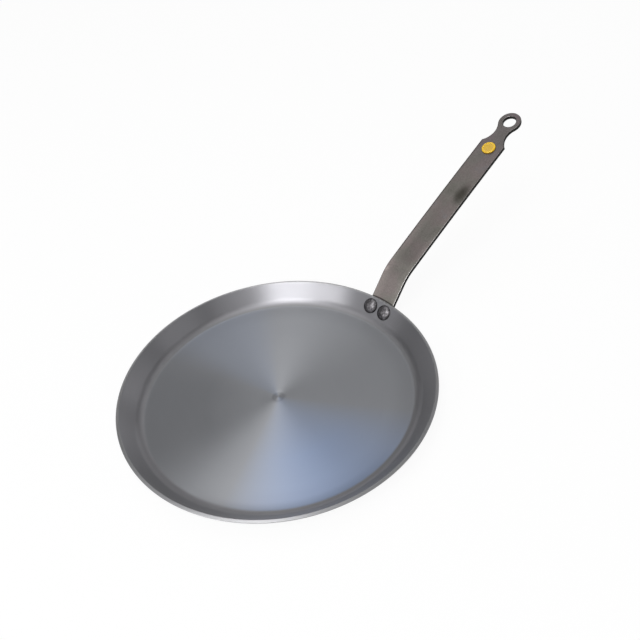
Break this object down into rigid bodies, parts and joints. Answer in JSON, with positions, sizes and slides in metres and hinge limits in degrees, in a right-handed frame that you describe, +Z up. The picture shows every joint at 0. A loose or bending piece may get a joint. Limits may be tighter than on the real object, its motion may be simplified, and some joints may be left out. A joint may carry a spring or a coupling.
{
  "type": "crepe pan",
  "caption": "Shallow round pressed-steel crepe pan with a low flared wall and a bent strip handle, riveted on, that ends in a hanging eye.",
  "frame": {"origin": "middle of the body's flat underside, on the surface that the pan stands on", "axes": "+Z up, square to the floor of the pan; +X from the middle of the pan towards the handle, which lies in the XZ plane"},
  "size_m": [0.4529, 0.26, 0.1093],
  "materials": {
    "pan_steel": "turned carbon steel, dull grey with a concentric grain",
    "strip_steel": "hot-rolled strip steel, dull brown-grey with faint heat stains",
    "rivet_steel": "hammered steel, satin",
    "button_plastic": "glossy yellow"
  },
  "bodies": {
    "root": {"pan_body": "pan_steel", "handle": "strip_steel", "rivet_left": "rivet_steel", "rivet_right": "rivet_steel", "handle_button": "button_plastic"}
  },
  "joints": []
}
